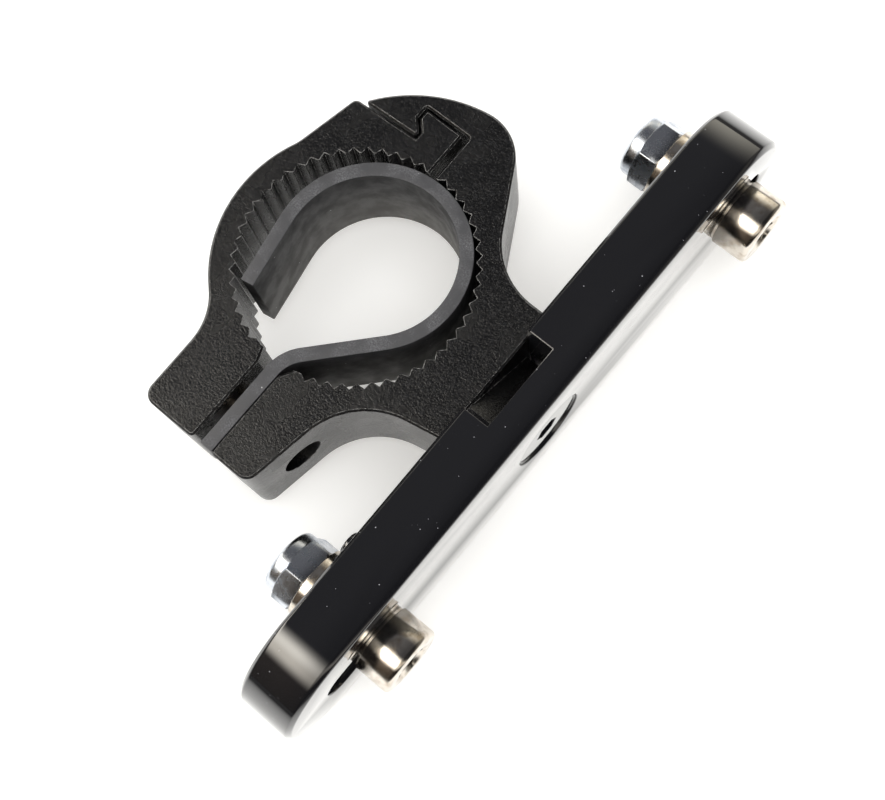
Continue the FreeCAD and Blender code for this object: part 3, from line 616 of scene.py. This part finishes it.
lockNut = {
    "flat": 4.0 * mm,
    "hexHeight": 2.85 * mm,
    "cornerDrop": 0.35 * mm,
    "collar": [
        # place along the axis and radius
        (3.75 * mm, 3.9 * mm),
        (4.0 * mm, 3.84 * mm),
        (4.2 * mm, 3.7 * mm),
        (4.36 * mm, 3.48 * mm),
        (4.48 * mm, 3.2 * mm),
        (4.56 * mm, 2.95 * mm),
        (4.6 * mm, 2.8 * mm),
    ],
    "collarRadius": 3.9 * mm,
    "seatFloor": 2.65 * mm,
    "seatRadius": 2.95 * mm,
    "lipUnder": 4.25 * mm,
    "lipRadius": 2.8 * mm,
    "bore": 2.54 * mm,
    "leadIn": 0.4 * mm,
    "cornerRound": 0.07 * mm,
    "seat": 18.68 * mm,
    "turn": {"lower": 11.5, "upper": 31.5},      # degrees
}


def makeLockNut(name, settings, spin):
    # Drawn with the bearing face at the origin and the collar along +X
    flat = settings["flat"]
    corner = flat / cos(pi / 6)
    height = settings["hexHeight"]
    drop = settings["cornerDrop"]
    nut = addTurned(corner, 0.0, height, 6, spin)
    nut.name = name
    barrel = addTurned(corner, drop, height - drop, 96)
    drawRings(barrel, 1, [(height, flat)])
    drawRings(barrel, -1, [(0.0, flat)])
    combine(nut, barrel, "INTERSECT")
    roundEdges(nut, settings["cornerRound"], 2, 35.0)
    collar = addTurned(settings["collarRadius"], height - 0.6 * mm, height + 0.2 * mm, 96)
    drawRings(collar, 1, settings["collar"])
    combine(nut, collar, "UNION")
    top = settings["collar"][-1][0]
    bore = addTurned(settings["bore"], -0.3 * mm, top + 0.5 * mm, 64)
    combine(nut, bore, "DIFFERENCE")
    lead = addTurned(settings["bore"], 0.35 * mm, 0.351 * mm, 64)
    drawRings(lead, -1, [(-0.05 * mm, settings["bore"] + settings["leadIn"])])
    combine(nut, lead, "DIFFERENCE")
    seat = addTurned(settings["seatRadius"], settings["seatFloor"], settings["lipUnder"], 64)
    combine(nut, seat, "DIFFERENCE")
    lip = addTurned(settings["lipRadius"], settings["lipUnder"] - 0.1 * mm, top + 0.2 * mm, 64)
    combine(nut, lip, "DIFFERENCE")
    return nut


nutPieces = {}
for side, y in boltRows.items():
    # The nut is turned half round about Z, so its own turn runs the other way
    nut = makeLockNut(side + "_domed_nut", lockNut, -radians(30 + lockNut["turn"][side]))
    standAt(nut, (lockNut["seat"], y, 0.0), pi)
    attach(nut, side + "_bolt_set")
    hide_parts(side + "_lock_nut")
    nutPieces[side] = nut
print("lock nuts made")


# Rubber strip with soft edges
softEdges = {"strip": 0.28 * mm, "rail": 0.2 * mm}
strip = copyOfNode("rubber_liner", "soft_strip")
roundEdges(strip, softEdges["strip"], 4, 50.0)
standAt(strip, (0, 0, 0))
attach(strip, "clamp_and_rail")
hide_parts("rubber_liner")

# Rail with rounded edges
bar = copyOfNode("cage_rail", "round_rail")
roundEdges(bar, softEdges["rail"], 3, 30.0)
standAt(bar, (0, 0, 0))
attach(bar, "clamp_and_rail")
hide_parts("cage_rail")
print("strip and rail made")


# Each piece gets its finish
blackCoat = coatMaterial("black_coat", powderCoat)
dress("clamp_body", blackCoat)
dress("clamp_arm", blackCoat)
dress(bar, glossMaterial("black_gloss", railGloss))
dress("rail_screw", glossMaterial("black_steel", screwGloss))
dress(strip, rubberMaterial("liner_rubber", linerRubber))
pinchCentre = (0.0, bolts["pinch_bolt"]["seat"][1], 0.0)
dress(boltPieces["pinch_bolt"], metalMaterial("pinch_steel", plated["bright"], pinchCentre))
for side, y in boltRows.items():
    centre = (0.0, y, 0.0)
    bright = metalMaterial(f"{side}_bright_steel", plated["bright"], centre)
    zinc = metalMaterial(f"{side}_zinc_steel", plated["zinc"], centre)
    dress(boltPieces[side + "_cage_bolt"], bright)
    dress(nutPieces[side], zinc)
    for part in ("front_washer", "back_washer", "nut_washer"):
        dress(f"{side}_{part}", bright)
    dress(f"{side}_nylon_ring", nylonMaterial(f"{side}_nylon"))
print("finishes made")


# Camera at the photograph's place
photoCamera = {
    "place": (52.833 * mm, -28.418 * mm, 163.985 * mm),
    "turn": (14.1515, 4.4976, 39.8720),
    "lens": 60.0,
}
cameraData = bpy.data.cameras.new("camera")
cameraData.lens = photoCamera["lens"]
cameraData.sensor_width = 36.0
cameraData.clip_start = 0.01
camera = bpy.data.objects.new("camera", cameraData)
camera.location = photoCamera["place"]
camera.rotation_euler = Euler([radians(a) for a in photoCamera["turn"]])
bpy.context.scene.collection.objects.link(camera)
bpy.context.scene.camera = camera


# Floor, world and lamps
studio = {
    "floorColour": (0.8, 0.8, 0.79),
    "floorGlow": (1.0, 0.97, 0.92),
    "floorShare": 0.35,          # glow that the camera sees
    "glossyShare": 0.34,         # glow that the gloss mirrors
    "paperNear": 70.0 * mm,
    "paperFar": 190.0 * mm,
    "darkRoom": (0.02, 0.018, 0.016),
    "skyLevel": 0.55,
    "glossPeak": 8.0,
    "glossBands": [
        # degrees from overhead towards +Y, brightness in parts of glossPeak
        (-180, (0.16, 0.15, 0.14)),
        (-120, (0.13, 0.12, 0.11)),
        (-92, (0.012, 0.01, 0.008)),
        (-54, (0.02, 0.016, 0.013)),
        (-36, (0.72, 0.67, 0.59)),
        (-24, (0.98, 0.93, 0.84)),
        (-6, (0.014, 0.014, 0.015)),
        (44, (0.016, 0.016, 0.017)),
        (84, (0.19, 0.18, 0.155)),
        (125, (0.15, 0.145, 0.13)),
        (180, (0.16, 0.15, 0.14)),
    ],
}


def makeFloor(settings):
    bpy.ops.object.select_all(action="DESELECT")
    bpy.ops.mesh.primitive_plane_add(size=4.0, location=(0, 0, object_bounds()[0][2] - 0.02 * mm))
    floor = bpy.context.object
    floor.name = "floor"
    material, tree, shader = newMaterial("pale_floor")
    shader.inputs["Roughness"].default_value = 0.9
    shader.inputs["Specular IOR Level"].default_value = 0.0
    rays = tree.nodes.new("ShaderNodeLightPath")
    # In the gloss the paper ends a little way from the part
    place = objectPlace(tree)
    reach = tree.nodes.new("ShaderNodeVectorMath")
    reach.operation = "LENGTH"
    link(tree, place, reach.inputs[0])
    distance = reach.outputs["Value"]
    near = rampNode(tree, distance, settings["paperNear"], settings["paperFar"], 1.0, 0.06)
    away = mathNode(tree, "SUBTRACT", 1.0, near)
    far = mathNode(tree, "MULTIPLY", rays.outputs["Is Glossy Ray"], away)
    colour = mixColour(tree, far, settings["floorColour"], settings["darkRoom"])
    link(tree, colour, shader.inputs["Base Color"])
    seen = mathNode(tree, "ADD", rays.outputs["Is Camera Ray"], rays.outputs["Is Transmission Ray"])
    seen = mathNode(tree, "MULTIPLY", seen, settings["floorShare"])
    mirrored = mathNode(tree, "MULTIPLY", rays.outputs["Is Glossy Ray"], settings["glossyShare"])
    mirrored = mathNode(tree, "MULTIPLY", mirrored, near)
    glow = mathNode(tree, "ADD", seen, mirrored)
    shader.inputs["Emission Color"].default_value = (*settings["floorGlow"], 1.0)
    link(tree, glow, shader.inputs["Emission Strength"])
    floor.data.materials.append(material)
    floor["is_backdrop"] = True


def makeWorld(settings):
    world = bpy.data.worlds.new("studio")
    bpy.context.scene.world = world
    world.use_nodes = True
    tree = world.node_tree
    tree.nodes.clear()
    output = tree.nodes.new("ShaderNodeOutputWorld")
    background = tree.nodes.new("ShaderNodeBackground")
    link(tree, background.outputs[0], output.inputs["Surface"])
    # What the gloss mirrors runs in soft bands along X:
    # floor, dark horizon, strip lamp, dark ceiling, bright wall
    place = tree.nodes.new("ShaderNodeTexCoord").outputs["Generated"]
    split = tree.nodes.new("ShaderNodeSeparateXYZ")
    link(tree, place, split.inputs[0])
    lean = mathNode(tree, "ARCTAN2", split.outputs["Y"], split.outputs["Z"])
    turn = mathNode(tree, "MULTIPLY_ADD", lean, 0.5 / pi, 0.5)
    ramp = tree.nodes.new("ShaderNodeValToRGB")
    ramp.color_ramp.interpolation = "EASE"
    places = [(degrees / 360 + 0.5, colour) for degrees, colour in settings["glossBands"]]
    ramp.color_ramp.elements[0].position, colour = places[0]
    ramp.color_ramp.elements[0].color = (*colour, 1.0)
    ramp.color_ramp.elements[1].position, colour = places[-1]
    ramp.color_ramp.elements[1].color = (*colour, 1.0)
    for position, colour in places[1:-1]:
        element = ramp.color_ramp.elements.new(position)
        element.color = (*colour, 1.0)
    link(tree, turn, ramp.inputs["Fac"])
    fade = rampNode(tree, split.outputs["X"], -0.22, 0.12, 1.0, 0.16)
    level = mathNode(tree, "MULTIPLY", fade, settings["glossPeak"])
    bands = tree.nodes.new("ShaderNodeVectorMath")
    bands.operation = "SCALE"
    link(tree, ramp.outputs["Color"], bands.inputs[0])
    link(tree, level, bands.inputs["Scale"])
    rays = tree.nodes.new("ShaderNodeLightPath")
    plain = (settings["skyLevel"],) * 3
    mirrored = mixColour(tree, rays.outputs["Is Glossy Ray"], plain, bands.outputs[0])
    straight = (rays.outputs["Is Camera Ray"], rays.outputs["Is Transmission Ray"])
    direct = mathNode(tree, "ADD", *straight, clamp=True)
    shown = mixColour(tree, direct, mirrored, (1.0, 1.0, 1.0))
    link(tree, shown, background.inputs["Color"])


lamps = [
    # name, place, size, watts, colour
    ("overhead", (0.05, 0.0, 0.75), (0.7, 0.7), 3.2, (1.0, 1.0, 1.0)),
    ("nearSide", (0.05, -0.55, 0.30), (0.5, 0.18), 1.6, (1.0, 0.99, 0.97)),
    ("leftSide", (-0.5, 0.05, 0.16), (0.5, 0.2), 1.5, (1.0, 1.0, 1.0)),
    ("rightSide", (0.55, 0.1, 0.22), (0.5, 0.2), 1.5, (1.0, 0.99, 0.98)),
    ("farSide", (0.0, 0.6, 0.1), (0.6, 0.16), 1.2, (1.0, 1.0, 1.0)),
]


def makeLamp(name, place, extent, watts, colour):
    data = bpy.data.lights.new(name, "AREA")
    data.shape = "RECTANGLE"
    data.size, data.size_y = extent
    data.energy = watts
    data.color = colour
    lamp = bpy.data.objects.new(name, data)
    lamp.location = place
    aim = Vector((0.01, 0.0, 0.0)) - Vector(place)
    lamp.rotation_euler = aim.to_track_quat("-Z", "Y").to_euler()
    lamp.visible_glossy = False      # the gloss mirrors the world's bands alone
    lamp.visible_camera = False
    bpy.context.scene.collection.objects.link(lamp)


makeFloor(studio)
makeWorld(studio)
for lamp in lamps:
    makeLamp(*lamp)
bpy.context.scene.view_settings.view_transform = "Standard"
print("studio set")
